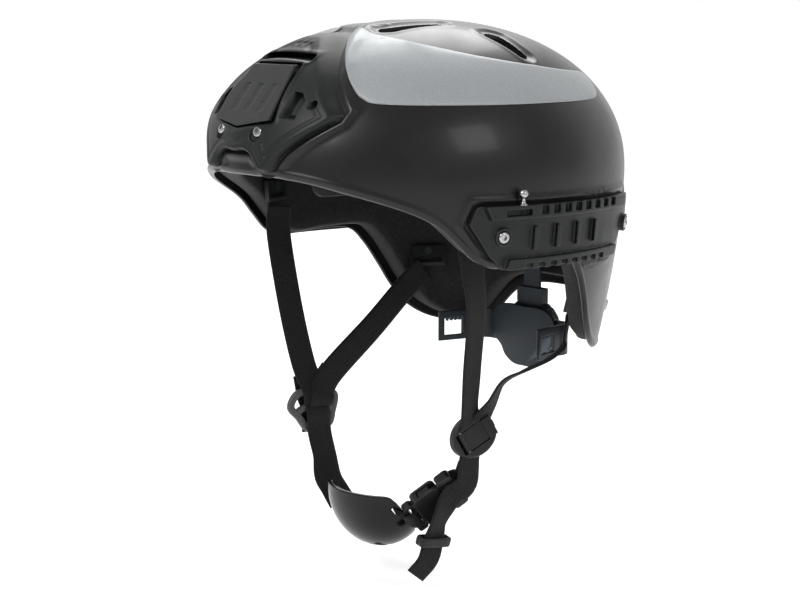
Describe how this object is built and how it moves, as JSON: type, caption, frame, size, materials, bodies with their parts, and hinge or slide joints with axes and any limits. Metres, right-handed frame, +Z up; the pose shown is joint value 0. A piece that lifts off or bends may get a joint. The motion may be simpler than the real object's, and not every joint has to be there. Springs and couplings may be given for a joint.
{
  "type": "water helmet",
  "caption": "Black moulded water rescue helmet with front shroud, side rails, reflective panels, foam liner, dial headband and buckled chin harness.",
  "frame": {"origin": "middle plane of the head opening at the height of the greatest girth, where the head sits", "axes": "+Z up, -Y the wearer's front, +X the wearer's left"},
  "size_m": [0.2302, 0.2707, 0.3244],
  "materials": {
    "shell": "satin",
    "foam": "matte beaded foam",
    "pad": "brushed knit",
    "moulded": "fine texture",
    "plate": "satin",
    "steel": "polished",
    "reflective": "retroreflective film",
    "webbing": "woven",
    "slider": "satin",
    "cup": "gloss",
    "buckle": "satin",
    "cradle": "satin"
  },
  "bodies": {
    "helmet": {"adjuster_strap": "webbing", "ball_stud_left": "steel", "ball_stud_right": "steel", "buckle_socket": "buckle", "chin_cup": "cup", "chin_cup_pad": "pad", "chin_strap_left": "webbing", "chin_strap_right": "webbing", "cradle_hanger": "cradle", "divider_body": "buckle", "divider_cam_pin": "steel", "front_shroud": "moulded", "liner_crown": "foam", "liner_front": "foam", "liner_rear": "foam", "nape_screws": "steel", "outer_shell": "shell", "pad_brow": "pad", "pad_crown": "pad", "pad_left": "pad", "pad_rear": "pad", "pad_right": "pad", "rail_left": "moulded", "rail_right": "moulded", "rail_screws_left": "steel", "rail_screws_right": "steel", "reflective_panel_left": "reflective", "reflective_panel_right": "reflective", "shroud_plate": "plate", "shroud_screws": "steel", "strap_anchor_front_left": "moulded", "strap_anchor_front_right": "moulded", "strap_anchor_rear_left": "moulded", "strap_anchor_rear_right": "moulded", "strap_front_left": "webbing", "strap_front_right": "webbing", "strap_rear_left": "webbing", "strap_rear_right": "webbing", "triangle_slider": "slider"},
    "cradle": {"cradle_plate": "cradle", "dial_housing": "cradle"},
    "dial": {"dial_knob": "cradle", "dial_pinion": "cradle"},
    "band_left": {"band_arm_left": "cradle"},
    "band_right": {"band_arm_right": "cradle"},
    "cam_lever": {"divider_cam_lever": "buckle"},
    "buckle_tongue": {"buckle_tongue": "buckle", "strap_tail": "webbing"},
    "prong_front": {"buckle_prong_front": "buckle"},
    "prong_rear": {"buckle_prong_rear": "buckle"},
    "keeper": {"strap_keeper": "buckle"}
  },
  "joints": [
    {"name": "cradle_height", "type": "slide", "parent": "helmet", "child": "cradle", "axis": [0, 0, 1], "range_m": [-0.005, 0.004]},
    {"name": "dial_turn", "type": "hinge", "parent": "cradle", "child": "dial", "pos_m": [0, 0.08, -0.106], "axis": [0, 1, 0], "range_deg": [-95, 95]},
    {"name": "band_left_slide", "type": "slide", "parent": "cradle", "child": "band_left", "axis": [1, 0, 0], "range_m": [-0.005, 0.005]},
    {"name": "band_right_slide", "type": "slide", "parent": "cradle", "child": "band_right", "axis": [-1, 0, 0], "range_m": [-0.005, 0.005]},
    {"name": "cam_lever_lift", "type": "hinge", "parent": "helmet", "child": "cam_lever", "pos_m": [0.06091, -0.03049, -0.15214], "axis": [0.2399, 0.4093, -0.8803], "range_deg": [0, 80]},
    {"name": "buckle_release", "type": "slide", "parent": "helmet", "child": "buckle_tongue", "axis": [0.4879, 0.6355, 0.5984], "range_m": [0, 0.012], "deforming": ["adjuster_strap"]},
    {"name": "prong_front_squeeze", "type": "hinge", "parent": "buckle_tongue", "child": "prong_front", "pos_m": [0.0476, -0.03767, -0.17883], "axis": [0.8727, -0.3417, -0.3487], "range_deg": [0, 8], "stiffness_Nm_per_rad": 0.05},
    {"name": "prong_rear_squeeze", "type": "hinge", "parent": "buckle_tongue", "child": "prong_rear", "pos_m": [0.04735, -0.02756, -0.18936], "axis": [-0.8727, 0.3417, 0.3487], "range_deg": [0, 8], "stiffness_Nm_per_rad": 0.05},
    {"name": "keeper_slide", "type": "slide", "parent": "buckle_tongue", "child": "keeper", "axis": [-0.1937, -0.155, -0.9687], "range_m": [-0.005, 0.005]}
  ],
  "couplings": [
    {"joint": "band_left_slide", "follows": "dial_turn", "m_per_rad": 0.003},
    {"joint": "band_right_slide", "follows": "dial_turn", "m_per_rad": 0.003}
  ]
}
